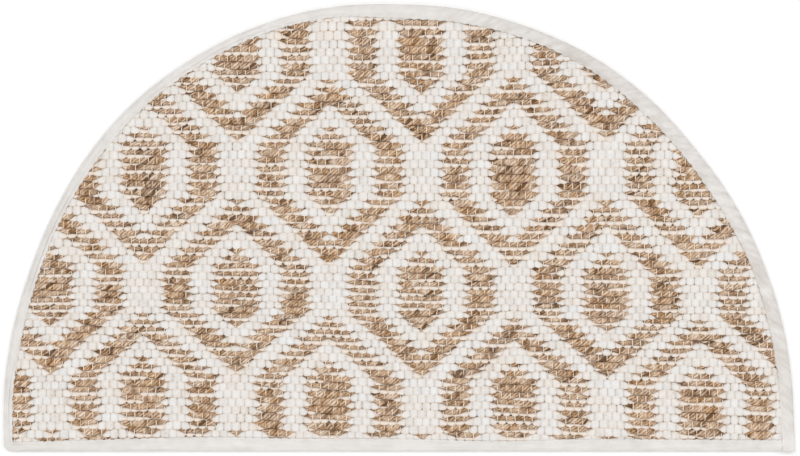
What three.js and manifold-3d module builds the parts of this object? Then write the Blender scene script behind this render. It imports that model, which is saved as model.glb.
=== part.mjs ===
// A half-moon rug: a flat-woven field of thick cotton and jute rows, cut to a half circle on
// short straight sides, with one cotton tape folded over the cut edge and sewn down all round.
// Units are millimetres. +Z is up, +X is right along the straight edge, +Y points to the crown.
// The origin is under the middle of the rug's outer box, on the floor.

import * as THREE from 'three';
import { mergeVertices } from 'three/addons/utils/BufferGeometryUtils.js';
import Module from 'manifold-3d';

const wasm = await Module();
wasm.setup();

// Overall size: 800 wide on the straight edge, 454 from that edge to the crown.
const HALF_WIDTH = 400;
const FRONT_Y = -227;

// The arc is cut by hand round one centre, so its radius wanders a little with the angle,
// counted from +X towards +Y.
const ARC_CENTRE = { x: -2.5, y: -174.9 };
const ARC_RADIUS = [
  { at: 0, value: 401.6 },
  { at: 20, value: 395.2 },
  { at: 40, value: 394.8 },
  { at: 60, value: 399.2 },
  { at: 80, value: 400.6 },
  { at: 100, value: 403.2 },
  { at: 120, value: 403.2 },
  { at: 140, value: 399.6 },
  { at: 160, value: 394.4 },
  { at: 180, value: 397.5 },
];
const ARC_STEPS = 72;
const LEFT_CORNER_RADIUS = 6;
const CORNER_STEPS = 4;

// The tape shows wider on the right shoulder than on the left, by the same angle.
const TAPE_WIDTH = [
  { at: 0, value: 11.6 },
  { at: 20, value: 14.2 },
  { at: 40, value: 15.0 },
  { at: 60, value: 15.0 },
  { at: 80, value: 14.6 },
  { at: 100, value: 10.4 },
  { at: 120, value: 10.6 },
  { at: 140, value: 10.6 },
  { at: 160, value: 10.4 },
  { at: 180, value: 9.2 },
];
const TAPE_FRONT_WIDTH = 12;
const TAPE_FRONT_WAVE = 1.2;
const TAPE_FRONT_WAVE_LENGTH = 160;
const FRONT_STEPS = 40;

// The tape is one folded strip: a wall above, a wall below and a round fold outside.
const TAPE_HEIGHT = 7;
const TAPE_WALL = 1.2;
const TAPE_FOLD_RADIUS = 3;
const TAPE_FOLD_STEPS = 3;
const TAPE_FOLD_WALL = 1.7;
const TAPE_END_GAP = 0.4;

// Pieces that touch stay this far apart, and a cutting body passes what it cuts by this much.
const GAP = 0.3;
const CUT_PAST = 1;
const SAME_POINT = 1e-4;

// The weave: 54 rows of weft lie along X, counted from the crown, each one rounded rib. The loom
// beat some of them closer than others, so their place down the middle is a short table. Across
// the rug they lie a little aslant, by terms in how far across and how far down a point is.
const ROW_COUNT = 54;
const ROW_MIDDLE_Y = [
  { at: 0, value: 211.0 },
  { at: 8, value: 147.5 },
  { at: 16, value: 83.0 },
  { at: 24, value: 16.8 },
  { at: 32, value: -48.9 },
  { at: 40, value: -106.2 },
  { at: 48, value: -168.6 },
  { at: 56, value: -233.0 },
];
const ROW_SLANT = -4.0;
const ROW_SLANT_DOWN = -6.7;
const ROW_SLANT_DOWN_SQUARED = 3.7;
const ROW_BOW = 1.5;
const ROW_BOW_DOWN = -4.6;
const ROW_TWIST = 1.5;
const CREST_HEIGHT = 8;
const VALLEY_DEPTH = 1.3;
const SHOULDER_DEPTH = 0.3;
const ROW_HEIGHT_WANDER = 0.25;
const ROW_WANDER_TURN = 2.3;

// The ribs are first made as a slab that reaches past the rug on every side.
const SAMPLES_PER_ROW = 4;
const FIRST_ROW = -3;
const LAST_ROW = 56;
const COLUMNS = 10;
const SLAB_REACH = HALF_WIDTH + 10;

const DEGREE = Math.PI / 180;

// A smooth value between the rows of a table, by a cubic through its neighbours. Past either
// end the table is taken to run on straight.
function alongTable(rows, at) {
  const last = rows.length - 1;
  const after = rows.findIndex((row) => row.at > at);
  const start = after < 0 ? last - 1 : Math.max(after - 1, 0);
  const from = rows[start];
  const to = rows[start + 1];
  const before = start > 0 ? rows[start - 1].value : 2 * from.value - to.value;
  const beyond = start + 1 < last ? rows[start + 2].value : 2 * to.value - from.value;
  const t = (at - from.at) / (to.at - from.at);
  const slopeFrom = (to.value - before) / 2;
  const slopeTo = (beyond - from.value) / 2;
  const bend = 2 * (from.value - to.value) + slopeFrom + slopeTo;
  const lift = 3 * (to.value - from.value) - 2 * slopeFrom - slopeTo;
  return from.value + t * (slopeFrom + t * (lift + t * bend));
}

// The half-moon outline, drawn inwards by a distance that may change with the angle on the arc
// and with X on the straight edge. It runs round anticlockwise from the right-hand corner.
function halfMoon({ arcInset, frontInset, leftCorner }) {
  const points = [];
  for (let step = 0; step <= ARC_STEPS; step += 1) {
    const angle = (180 * step) / ARC_STEPS;
    const radius = alongTable(ARC_RADIUS, angle) - arcInset(angle);
    const x = ARC_CENTRE.x + radius * Math.cos(angle * DEGREE);
    const y = ARC_CENTRE.y + radius * Math.sin(angle * DEGREE);
    points.push(new THREE.Vector2(x, y));
  }
  const left = points[points.length - 1].x;
  const right = HALF_WIDTH - arcInset(0);
  if (leftCorner > 0) {
    const centreX = left + leftCorner;
    const centreY = FRONT_Y + frontInset(left) + leftCorner;
    for (let step = 0; step <= CORNER_STEPS; step += 1) {
      const angle = (180 + (90 * step) / CORNER_STEPS) * DEGREE;
      const x = centreX + leftCorner * Math.cos(angle);
      const y = centreY + leftCorner * Math.sin(angle);
      points.push(new THREE.Vector2(x, y));
    }
  } else {
    points.push(new THREE.Vector2(left, FRONT_Y + frontInset(left)));
  }
  const firstX = left + leftCorner;
  for (let step = 1; step <= FRONT_STEPS; step += 1) {
    const x = THREE.MathUtils.lerp(firstX, right, step / FRONT_STEPS);
    points.push(new THREE.Vector2(x, FRONT_Y + frontInset(x)));
  }
  return new THREE.Shape(points);
}

// The outline at one even distance inside the rug's outer edge.
function evenOutline(inset, leftCorner) {
  return halfMoon({ arcInset: () => inset, frontInset: () => inset, leftCorner });
}

// The tape's inner edge on top, which the woven field fills; spread opens it all round.
function tapeInnerOutline(spread) {
  const wave = (x) => TAPE_FRONT_WAVE * Math.sin((2 * Math.PI * x) / TAPE_FRONT_WAVE_LENGTH);
  return halfMoon({
    arcInset: (angle) => alongTable(TAPE_WIDTH, angle) - spread,
    frontInset: (x) => TAPE_FRONT_WIDTH + wave(x) - spread,
    leftCorner: 0,
  });
}

function solidOf(geometry) {
  geometry.deleteAttribute('normal');
  geometry.deleteAttribute('uv');
  const merged = mergeVertices(geometry, SAME_POINT);
  return new wasm.Manifold(new wasm.Mesh({
    numProp: 3,
    vertProperties: new Float32Array(merged.attributes.position.array),
    triVerts: new Uint32Array(merged.index.array),
  }));
}

function geometryOf(solid) {
  const mesh = solid.getMesh();
  const geometry = new THREE.BufferGeometry();
  geometry.setAttribute('position', new THREE.BufferAttribute(mesh.vertProperties, 3));
  geometry.setIndex(new THREE.BufferAttribute(mesh.triVerts, 1));
  geometry.computeVertexNormals();
  return geometry;
}

function prism(shape, bottom, top) {
  const geometry = new THREE.ExtrudeGeometry(shape, { depth: top - bottom, bevelEnabled: false });
  geometry.translate(0, 0, bottom);
  return solidOf(geometry);
}

// The Y of a weft row at X. Row 0 is the first one under the crown.
function rowY(row, x) {
  const across = x / HALF_WIDTH;
  const down = (2 * row) / (ROW_COUNT - 1) - 1;
  const slant = ROW_SLANT + ROW_SLANT_DOWN * down + ROW_SLANT_DOWN_SQUARED * down ** 2;
  const bow = ROW_BOW + ROW_BOW_DOWN * down;
  const aslant = slant * across + bow * across ** 2 + ROW_TWIST * across ** 3;
  return alongTable(ROW_MIDDLE_Y, row) + aslant;
}

// The top of the weave: each row of weft is one rounded rib, with a valley to its neighbours.
function ribHeight(sample, row) {
  const depths = [VALLEY_DEPTH, SHOULDER_DEPTH, 0, SHOULDER_DEPTH];
  const wander = ROW_HEIGHT_WANDER * Math.sin(ROW_WANDER_TURN * Math.round(row));
  return CREST_HEIGHT - ROW_HEIGHT_WANDER - depths[sample % SAMPLES_PER_ROW] + wander;
}

// A ribbed slab larger than the rug, as a grid of points over a flat grid of the same points.
function ribbedSlab() {
  const sampleCount = (LAST_ROW - FIRST_ROW) * SAMPLES_PER_ROW;
  const positions = [];
  const faces = [];
  const layer = (COLUMNS + 1) * (sampleCount + 1);
  for (const below of [false, true]) {
    for (let sample = 0; sample <= sampleCount; sample += 1) {
      const row = FIRST_ROW + (sample / SAMPLES_PER_ROW) - 0.5;
      for (let column = 0; column <= COLUMNS; column += 1) {
        const x = THREE.MathUtils.lerp(-SLAB_REACH, SLAB_REACH, column / COLUMNS);
        positions.push(x, rowY(row, x), below ? -CUT_PAST : ribHeight(sample, row));
      }
    }
  }
  const at = (sample, column) => sample * (COLUMNS + 1) + column;
  const quad = (a, b, c, d) => faces.push(a, b, c, a, c, d);
  for (let sample = 0; sample < sampleCount; sample += 1) {
    for (let column = 0; column < COLUMNS; column += 1) {
      const corners = [
        at(sample, column),
        at(sample + 1, column),
        at(sample + 1, column + 1),
        at(sample, column + 1),
      ];
      quad(...corners);
      quad(...corners.map((corner) => corner + layer).reverse());
    }
    quad(at(sample, 0), at(sample, 0) + layer, at(sample + 1, 0) + layer, at(sample + 1, 0));
    const a = at(sample, COLUMNS);
    const b = at(sample + 1, COLUMNS);
    quad(a, b, b + layer, a + layer);
  }
  for (let column = 0; column < COLUMNS; column += 1) {
    const a = at(0, column);
    const b = at(0, column + 1);
    quad(a, b, b + layer, a + layer);
    const c = at(sampleCount, column);
    const d = at(sampleCount, column + 1);
    quad(c, c + layer, d + layer, d);
  }
  const geometry = new THREE.BufferGeometry();
  geometry.setAttribute('position', new THREE.Float32BufferAttribute(positions, 3));
  geometry.setIndex(faces);
  return solidOf(geometry);
}

// The woven field: ribs where it shows, and a flat pressed rim that goes into the folded tape.
function wovenField() {
  const shown = ribbedSlab().intersect(prism(tapeInnerOutline(0), 0, CREST_HEIGHT + CUT_PAST));
  const rimInset = TAPE_FOLD_WALL + GAP;
  const rimOutline = evenOutline(rimInset, LEFT_CORNER_RADIUS - rimInset);
  const rim = prism(rimOutline, TAPE_WALL + GAP, TAPE_HEIGHT - TAPE_WALL - GAP);
  return geometryOf(shown.add(rim));
}

// The tape as it lies folded: a rounded plate, with the field's place and its rim's slot cut
// out. The tape's end runs down over the right-hand corner and meets its own start there.
function foldedTape() {
  const plate = new THREE.ExtrudeGeometry(evenOutline(0, LEFT_CORNER_RADIUS), {
    depth: TAPE_HEIGHT - 2 * TAPE_FOLD_RADIUS,
    bevelThickness: TAPE_FOLD_RADIUS,
    bevelSize: TAPE_FOLD_RADIUS,
    bevelOffset: -TAPE_FOLD_RADIUS,
    bevelSegments: TAPE_FOLD_STEPS,
  });
  plate.translate(0, 0, TAPE_FOLD_RADIUS);
  const opening = prism(tapeInnerOutline(GAP), -CUT_PAST, TAPE_HEIGHT + CUT_PAST);
  const slotOutline = evenOutline(TAPE_FOLD_WALL, LEFT_CORNER_RADIUS - TAPE_FOLD_WALL);
  const slot = prism(slotOutline, TAPE_WALL, TAPE_HEIGHT - TAPE_WALL);
  const endX = HALF_WIDTH - TAPE_WIDTH[0].value;
  const endCut = new THREE.BoxGeometry(TAPE_END_GAP, 2 * TAPE_FRONT_WIDTH, 3 * TAPE_HEIGHT);
  endCut.translate(endX - TAPE_END_GAP / 2, FRONT_Y, TAPE_HEIGHT / 2);
  return geometryOf(solidOf(plate).subtract(opening).subtract(slot).subtract(solidOf(endCut)));
}

function piece(name, geometry, color, roughness) {
  const material = new THREE.MeshStandardMaterial({ color, roughness, metalness: 0 });
  const mesh = new THREE.Mesh(geometry, material);
  mesh.name = name;
  return mesh;
}

const rug = new THREE.Group();
rug.add(piece('woven_field', wovenField(), 0xd8bf9f, 0.95));
rug.add(piece('edge_tape', foldedTape(), 0xe8e5df, 0.9));

export default rug;
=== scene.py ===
# %% [markdown]
# # A half-moon rug of cotton and jute
#
# The real rug is flat-woven by hand. In every row a thick off-white cotton yarn and a brown jute
# yarn lie together, one on the face and the other behind it, and they change places where the
# pattern changes. Thin cotton warps cross them in plain weave, so each row is tied down every
# 8.5 mm and looks like a string of pillows. The cut edge is bound in folded tape.
#
# A pattern painted on a slab would look right from far above and wrong from everywhere else.
# Here every yarn is a real tube that goes over and under, so the pattern comes from the weave.

# %% Load the frame
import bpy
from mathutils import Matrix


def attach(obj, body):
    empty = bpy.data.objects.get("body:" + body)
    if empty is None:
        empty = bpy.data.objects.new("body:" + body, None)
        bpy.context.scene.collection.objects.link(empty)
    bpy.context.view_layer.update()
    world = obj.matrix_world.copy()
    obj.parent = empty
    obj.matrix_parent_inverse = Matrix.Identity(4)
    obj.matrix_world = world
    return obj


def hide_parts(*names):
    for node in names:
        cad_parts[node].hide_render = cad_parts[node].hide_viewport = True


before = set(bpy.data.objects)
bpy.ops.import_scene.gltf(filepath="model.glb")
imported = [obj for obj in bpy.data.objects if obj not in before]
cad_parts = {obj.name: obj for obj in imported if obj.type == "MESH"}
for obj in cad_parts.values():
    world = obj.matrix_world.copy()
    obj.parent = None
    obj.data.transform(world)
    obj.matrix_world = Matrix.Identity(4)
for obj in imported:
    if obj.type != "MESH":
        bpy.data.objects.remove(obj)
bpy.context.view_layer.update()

import math

import bpy
import numpy as np

# %% [markdown]
# ## Where a row and a warp lie
#
# The rug's lengths are in millimetres, and are turned into metres when a mesh and its map are
# made. +X runs right along the straight edge and +Y points to the crown.
#
# A loom never beats its rows quite evenly, and a rug relaxes once it is cut off. A row's place is
# a short table down the middle and a few terms for the slant across, and the warps fan a little
# too. Where rows sag and warps lean, a few bell-shaped moves are added. The spots
# that jute has stained are bells as well.

# %% Places in the weave
MM = 0.001
HALF_WIDTH = 400.0
ROW_COUNT = 54
PITCH = 8.0
HALF_TIE = 4.25
PATTERN_X = 22.7
ROW_MIDDLE = [[0, 211.0], [8, 147.5], [16, 83.0], [24, 16.8], [32, -48.9], [40, -106.2],
              [48, -168.6], [56, -233.0]]
# Each bell is its place across and down, its reach across and down, and its height. Leans are
# placed down the rug by row, and the others by Y.
SAGS = [(2, -150, 65, 90, -1.8), (190, -125, 55, 60, 1.0), (345, -222, 60, 28, -1.8),
        (170, 115, 60, 45, 2.8), (-35, 214, 105, 20, 4.6), (-150, 190, 30, 12, 3.0),
        (-365, -139, 45, 13, -3.4), (-191, 136, 55, 28, 2.3), (-310, 62, 40, 25, -2.2),
        (51, 159, 30, 15, -2.2), (-70, 58, 30, 14, -1.2), (293, 58, 35, 14, -1.6),
        (225, 15, 45, 22, 1.5), (265, -30, 40, 18, -1.4), (300, -125, 70, 30, 1.2),
        (105, -192, 45, 30, 2.0), (-280, -155, 60, 45, 1.4), (-285, -220, 50, 9, -2.6)]
STAINS = [(-68, 200, 14, 5, 0.8), (-122, 194, 7, 6, 0.8), (-252, 138, 12, 6, 0.5),
          (-110, 60, 12, 6, 0.4), (230, -70, 14, 6, 0.4)]
LEANS = [(-312, 24, 40, 6, 2.4), (-252, 9, 40, 4, 2.0), (330, 44, 75, 7, 1.8),
         (290, 21, 50, 6, -1.6), (111, 24, 50, 4, -1.3)]


def along_table(table, at):
    """A smooth value between evenly spaced table rows: a cubic on each stretch, whose slope at
    a row is half the step between its neighbours. It runs on straight past both ends."""
    places, values = np.array(table, float).T
    values = np.r_[2 * values[0] - values[1], values, 2 * values[-1] - values[-2]]
    step = places[1] - places[0]
    start = np.clip(np.floor((at - places[0]) / step).astype(int), 0, len(places) - 2)
    t = (at - places[start]) / step
    before, here, there, beyond = (values[start + k] for k in range(4))
    slope_here, slope_there = (there - before) / 2, (beyond - here) / 2
    bend = 2 * (here - there) + slope_here + slope_there
    lift = 3 * (there - here) - 2 * slope_here - slope_there
    return here + t * (slope_here + t * (lift + t * bend))


def bells(places, across, down):
    """The sum of bells. Each is its height times e to the power of minus the squares of how far
    off its middle a point is, across and down, counted in reaches."""
    return sum(height * np.exp(-((across - at) / wide) ** 2 - ((down - at_down) / deep) ** 2)
               for at, at_down, wide, deep, height in places)


def row_y(row, x):
    """The Y of a row at X: its place down the middle, plus a slant, a bow and a twist that are
    powers of how far across it is, and the sags."""
    across, down = x / HALF_WIDTH, 2 * row / (ROW_COUNT - 1) - 1
    slant = (-4.0 - 6.7 * down + 3.7 * down ** 2) * across
    bow = (1.5 - 4.6 * down) * across ** 2
    y = along_table(ROW_MIDDLE, row) + slant + bow + 1.5 * across ** 3
    return y + bells(SAGS, x, y)


def column_x(column, row):
    """The X of a warp in a row. Columns are counted from the pattern's middle, 4.25 mm apart,
    and the warps fan by a few cubic terms in how far across and how far down they are. Then the
    leans are added."""
    across = (column * HALF_TIE + PATTERN_X) / HALF_WIDTH
    down = 2 * row / (ROW_COUNT - 1) - 1
    by_row = -1.29 * down - 0.51 * down ** 2 + 2.25 * down ** 3
    by_both = (3.13 + 1.2 * down - 6.72 * across ** 2 + 1.54 * across) * across * down
    x = 398.2 * across - 0.13 + by_row + by_both - 1.65 * across ** 2 + 3.77 * across ** 3
    return x + bells(LEANS, x, row)


print("rows run from Y", round(float(row_y(0, 0.0))), "to", round(float(row_y(53, 0.0))), "mm")

# %% [markdown]
# ## The outline and its tape
#
# The half-moon was cut by hand, so its radius wanders by a few millimetres, and so does the
# width of tape that shows. Both are tables by angle, counted from +X towards +Y, and the tape on
# the straight edge has a table by X.

# %% The outline
FRONT_Y = -225.7
ARC_X, ARC_Y = -2.5, -174.9
ARC_RADIUS = [[0, 400.4], [10, 397.6], [20, 395.6], [30, 394.9], [40, 394.6], [50, 397.8],
              [60, 400.2], [70, 400.6], [80, 401.5], [90, 401.2], [100, 403.9], [110, 404.3],
              [120, 403.0], [130, 402.2], [140, 399.2], [150, 395.5], [160, 393.2], [170, 394.6],
              [180, 397.5]]
TAPE_WIDTH = [[0, 13.8], [10, 14.3], [20, 12.9], [30, 14.6], [40, 13.8], [50, 14.5], [60, 13.2],
              [70, 12.6], [80, 14.2], [90, 14.9], [100, 10.9], [110, 9.8], [120, 9.8], [130, 10.4],
              [140, 10.5], [150, 9.4], [160, 9.3], [170, 10.4], [180, 9.3]]
FRONT_TAPE_WIDTH = [[-400, 9.2], [-300, 12.0], [-200, 14.6], [-100, 13.2], [0, 13.0],
                    [100, 10.7], [200, 12.7], [300, 12.0], [400, 11.8]]
SIDE_TAPE_WIDTH = 13.2
LEFT_X = ARC_X - ARC_RADIUS[-1][1]
FIELD_LEFT, FIELD_RIGHT = LEFT_X + TAPE_WIDTH[-1][1], HALF_WIDTH - SIDE_TAPE_WIDTH


def front_tape_y(x):
    """The inner edge of the tape on the straight side."""
    return FRONT_Y + along_table(FRONT_TAPE_WIDTH, x)


def inside_tape(x, y):
    """How far a point is inside the tape's inner edge: the least of its distances to the arc or
    the short upright sides, and to the straight edge. It is below 0 under the tape."""
    angle = np.degrees(np.arctan2(np.maximum(y - ARC_Y, 0), x - ARC_X))
    radius = along_table(ARC_RADIUS, angle) - along_table(TAPE_WIDTH, angle)
    to_arc = radius - np.hypot(x - ARC_X, y - ARC_Y)
    to_side = np.minimum(FIELD_RIGHT - x, x - FIELD_LEFT)
    return np.minimum(np.where(y > ARC_Y, to_arc, to_side), y - front_tape_y(x))


print("middle of the rug is", round(float(inside_tape(0.0, 0.0))), "mm inside the tape")

# %% [markdown]
# ## Camera and light
#
# The rug was photographed from straight above. A long lens a couple of metres up keeps the rows
# parallel. Three softboxes stand round the camera and a white sky fills in from all sides, so
# cotton stays bright and only the narrow gaps between the yarns go grey.

# %% Camera and light
VIEW_WIDTH = 0.8072
VIEW_CENTRE_X = 0.0005
WEAVE_TOP = 0.007
LENS, SENSOR = 85.0, 36.0
scene = bpy.context.scene
scene.view_settings.view_transform = "Standard"


def add_to_scene(thing):
    scene.collection.objects.link(thing)
    return thing


lens = bpy.data.cameras.new("camera")
lens.lens, lens.sensor_width = LENS, SENSOR
lens.clip_end = 20
camera = add_to_scene(bpy.data.objects.new("camera", lens))
camera.location = (VIEW_CENTRE_X, 0, WEAVE_TOP + VIEW_WIDTH * LENS / SENSOR)
scene.camera = camera


def softbox(name, place, size, watts):
    """A square area light that faces the middle of the rug."""
    light = bpy.data.lights.new(name, "AREA")
    light.shape, light.size, light.energy = "SQUARE", size, watts
    lamp = add_to_scene(bpy.data.objects.new(name, light))
    lamp.location = place
    lamp.rotation_mode = "QUATERNION"
    lamp.rotation_quaternion = (-lamp.location).to_track_quat("-Z", "Y")


softbox("softbox_left", (-1.9, 1.2, 2.4), 1.6, 28)
softbox("softbox_right", (1.9, 0.9, 2.4), 1.6, 28)
softbox("softbox_front", (0.0, -2.3, 2.2), 1.6, 23)

world = bpy.data.worlds.new("studio")
world.use_nodes = True
sky = world.node_tree.nodes["Background"].inputs
sky["Color"].default_value = (1, 1, 1, 1)
sky["Strength"].default_value = 0.59
scene.world = world
print("camera is", round(camera.location.z, 3), "m up")

# %% [markdown]
# ## Tools for materials
#
# A material here is a short list of nodes, so one helper adds a node, sets its values and wires
# whatever comes from another node, and the rest are built on it. Colours are written as a paint
# chart gives them, from 0 to 255, and turned into the linear light that the shader works in.

# %% Material helpers
def paint(red, green, blue):
    """A chart colour as linear light: each channel over 255, to the power 2.2."""
    return (*((channel / 255) ** 2.2 for channel in (red, green, blue)), 1.0)


def put(tree, kind, values=None, **settings):
    """Adds a node, sets its settings, and fills each input from a number or another's socket."""
    node = tree.nodes.new(kind)
    for name, value in settings.items():
        setattr(node, name, value)
    for name, value in (values or {}).items():
        if isinstance(value, bpy.types.NodeSocket):
            tree.links.new(value, node.inputs[name])
        else:
            node.inputs[name].default_value = value
    return node


def maths(tree, operation, *values):
    """A Math node's answer."""
    return put(tree, "ShaderNodeMath", dict(enumerate(values)), operation=operation).outputs[0]


def swing(tree, value, amount):
    """A value from 0 to 1, made to swing both ways round 0 and scaled."""
    return maths(tree, "MULTIPLY", maths(tree, "SUBTRACT", value, 0.5), amount)


def noise(tree, place, scale, detail, roughness=0.5):
    """A Noise Texture's value."""
    return put(tree, "ShaderNodeTexNoise", {
        "Vector": place, "Scale": scale, "Detail": detail, "Roughness": roughness}).outputs[0]


def mix(tree, share, first, second):
    """A straight mix of two colours."""
    return put(tree, "ShaderNodeMix", {0: share, 6: first, 7: second}, data_type="RGBA").outputs[2]


def ramp(tree, factor, *stops):
    """A Color Ramp through (place, colour) stops."""
    node = put(tree, "ShaderNodeValToRGB", {0: factor})
    marks = node.color_ramp.elements
    for _ in stops[2:]:
        marks.new(0.5)
    for mark, (place, colour) in zip(marks, stops):
        mark.position, mark.color = place, colour
    return node.outputs["Color"]


def group(name, takes, gives):
    """An empty node group with its sockets: takes and gives are lists of (name, kind, value)."""
    tree = bpy.data.node_groups.new(name, "ShaderNodeTree")
    for title, kind, value in takes:
        socket = tree.interface.new_socket(title, in_out="INPUT", socket_type=kind)
        if value is not None:
            socket.default_value = value
    for title, kind in gives:
        tree.interface.new_socket(title, in_out="OUTPUT", socket_type=kind)
    return tree, put(tree, "NodeGroupInput").outputs, put(tree, "NodeGroupOutput").inputs


def new_material(name, roughness, specular=0.5):
    """A material, its tree, and its Principled shader's inputs."""
    material = bpy.data.materials.new(name)
    material.use_nodes = True
    inputs = material.node_tree.nodes["Principled BSDF"].inputs
    inputs["Roughness"].default_value = roughness
    inputs["Specular IOR Level"].default_value = specular
    return material, material.node_tree, inputs


FLOAT, VECTOR = "NodeSocketFloat", "NodeSocketVector"
print("material helpers are ready")

# %% [markdown]
# ## How yarn looks: fibres that turn round it
#
# Jute and cotton differ in colour and coarseness, but both are fibres laid side by side and
# turned round the yarn, so one group serves both. It reads the yarn's own map, which has metres
# along the yarn in one direction and one turn round it in the other. Bending the map into a
# helix and stretching noise along it gives fibres with no seam. A second helix counts the
# strands, so the group also gives the groove between them and a random tone for each.

# %% Node group for spun yarn
FIBRE_RUN = 340.0
spun, take, result = group(
    "spun_yarn",
    [("Yarn", VECTOR, None), ("Turn length", FLOAT, 0.016), ("Lay length", FLOAT, 0.08),
     ("Fineness", FLOAT, 2.0), ("Strands", FLOAT, 1.0)],
    [("Fibres", FLOAT), ("Groove", FLOAT), ("Strand", FLOAT)],
)
yarn_map = put(spun, "ShaderNodeSeparateXYZ", {0: take["Yarn"]}).outputs


def wound(length):
    """The angle round the yarn in a frame that turns once in each length."""
    turns = maths(spun, "DIVIDE", yarn_map["X"], length)
    return maths(spun, "MULTIPLY", maths(spun, "SUBTRACT", yarn_map["Y"], turns), 2 * math.pi)


angle = wound(take["Lay length"])
helix = put(spun, "ShaderNodeCombineXYZ", {
    "X": maths(spun, "MULTIPLY", yarn_map["X"], FIBRE_RUN),
    "Y": maths(spun, "MULTIPLY", maths(spun, "COSINE", angle), take["Fineness"]),
    "Z": maths(spun, "MULTIPLY", maths(spun, "SINE", angle), take["Fineness"]),
}).outputs[0]
spun.links.new(noise(spun, helix, 1.0, 3.0, 0.62), result["Fibres"])
strand_angle = maths(spun, "MULTIPLY", wound(take["Turn length"]), take["Strands"])
ply_side = maths(spun, "ABSOLUTE", maths(spun, "SINE", strand_angle))
spun.links.new(maths(spun, "SMOOTH_MIN", ply_side, 0.55, 0.2), result["Groove"])
strand_number = maths(spun, "FLOOR", maths(spun, "DIVIDE", strand_angle, math.pi))
strand_tone = put(spun, "ShaderNodeTexWhiteNoise", {"W": strand_number}, noise_dimensions="1D")
spun.links.new(strand_tone.outputs[0], result["Strand"])
print("spun_yarn has", len(spun.nodes), "nodes")

# %% [markdown]
# ## Colour that drifts
#
# Hand-spun jute is never one colour: it goes from straw to bark within a few centimetres, as one
# plant's fibre gives way to the next. Cotton only goes from white to cream. A slow noise along
# the yarn gives the tone, and a slower one the batch, which is how rich the colour is. Each
# material spreads its own colours over them.

# %% Node group for drift
drift, take, result = group(
    "colour_drift",
    [("Yarn", VECTOR, None), ("Length", FLOAT, 60.0), ("Contrast", FLOAT, 2.0)],
    [("Tone", FLOAT), ("Batch", FLOAT)],
)
run = put(drift, "ShaderNodeVectorMath", {0: take["Yarn"], 1: (1.0, 0.004, 0.0)},
          operation="MULTIPLY").outputs[0]
tone = swing(drift, noise(drift, run, take["Length"], 2.0, 0.6), take["Contrast"])
drift.links.new(maths(drift, "ADD", tone, 0.5), result["Tone"])
slower = maths(drift, "MULTIPLY", take["Length"], 0.3)
drift.links.new(noise(drift, run, slower, 1.0), result["Batch"])
print("colour_drift has", len(drift.nodes), "nodes")

# %% [markdown]
# ## Cotton and jute
#
# Each material places the two groups with its own values. Jute gets a tone for each strand, with
# a dark stalk here and there. Cotton's sides are painted a warmer, darker cream: painted shade
# between the rows. Next to jute, cotton is mixed with painted warm light bounced from the jute,
# and with real jute stains, both given by the mesh as an attribute. Roughness is the same all over
# a yarn, so it is set on the shader itself.

# %% Cotton and jute materials
TOP_OF_SECTION = 0.25
STALK_SHARE = 0.02
CLEAN, FULL = (0, 0, 0, 1), (1, 1, 1, 1)


def yarn_material(name, colours, turn_length, strands, lay_length, fineness, drift_length,
                  contrast, fibre_contrast, relief, groove, batches=0.0, strand_contrast=0.0,
                  warm_shade_sides=None, jute_bounce_and_stain=None):
    """Spun yarn. The ramp's place is the sum of the drift, the fibres, the groove and the
    strand's own tone, and the fibres and the groove raise the surface. The groove darkens the
    colour as painted shade between the strands. Both sides of the section are painted with warm
    shade, by how far round it a point is from the top. Near jute the colour is mixed with painted
    warm light bounced from the jute, and with real stains."""
    material, tree, shader = new_material(name, 0.92, 0.25)
    yarn = put(tree, "ShaderNodeUVMap", uv_map="lay").outputs[0]
    spin = put(tree, "ShaderNodeGroup", {
        "Yarn": yarn, "Turn length": turn_length, "Lay length": lay_length,
        "Fineness": fineness, "Strands": strands}, node_tree=spun).outputs
    slow = put(tree, "ShaderNodeGroup", {
        "Yarn": yarn, "Length": drift_length, "Contrast": contrast}, node_tree=drift).outputs
    stalk = maths(tree, "LESS_THAN", spin["Strand"], STALK_SHARE)
    # The groove term darkens the colour between strands: painted shade in the grooves.
    parts = [swing(tree, spin["Fibres"], fibre_contrast), swing(tree, spin["Groove"], groove),
             swing(tree, spin["Strand"], strand_contrast),
             maths(tree, "MULTIPLY", stalk, -strand_contrast)]
    tone = slow["Tone"]
    for part in parts:
        tone = maths(tree, "ADD", tone, part)
    richness = put(tree, "ShaderNodeMapRange", {
        "Value": slow["Batch"], "From Min": 0.3, "From Max": 0.7,
        "To Min": 1 - batches, "To Max": 1 + batches}).outputs[0]
    colour = put(tree, "ShaderNodeHueSaturation", {
        "Saturation": richness, "Color": ramp(tree, tone, *colours)}).outputs[0]
    if warm_shade_sides:
        # Painted shade: both sides of the section are mixed towards a darker, warmer cream.
        turn = put(tree, "ShaderNodeSeparateXYZ", {0: yarn}).outputs["Y"]
        from_top = maths(tree, "PINGPONG", maths(tree, "SUBTRACT", turn, TOP_OF_SECTION), 0.5)
        painted_side_shade = ramp(tree, from_top, (0.14, CLEAN), (0.24, FULL), (0.36, FULL), (0.46, CLEAN))
        colour = mix(tree, painted_side_shade, colour, warm_shade_sides)
    if jute_bounce_and_stain:
        # Painted warm light bounced from the jute beside the cotton, with the real stain spots added
        # in.
        near = put(tree, "ShaderNodeAttribute", attribute_name="near_jute").outputs["Fac"]
        colour = mix(tree, near, colour, jute_bounce_and_stain)
    tree.links.new(colour, shader["Base Color"])
    height = maths(tree, "ADD", spin["Fibres"], maths(tree, "MULTIPLY", spin["Groove"], 2 * groove))
    bump = put(tree, "ShaderNodeBump", {"Height": height, "Distance": relief * MM, "Strength": 1.0})
    tree.links.new(bump.outputs[0], shader["Normal"])
    return material


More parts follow.
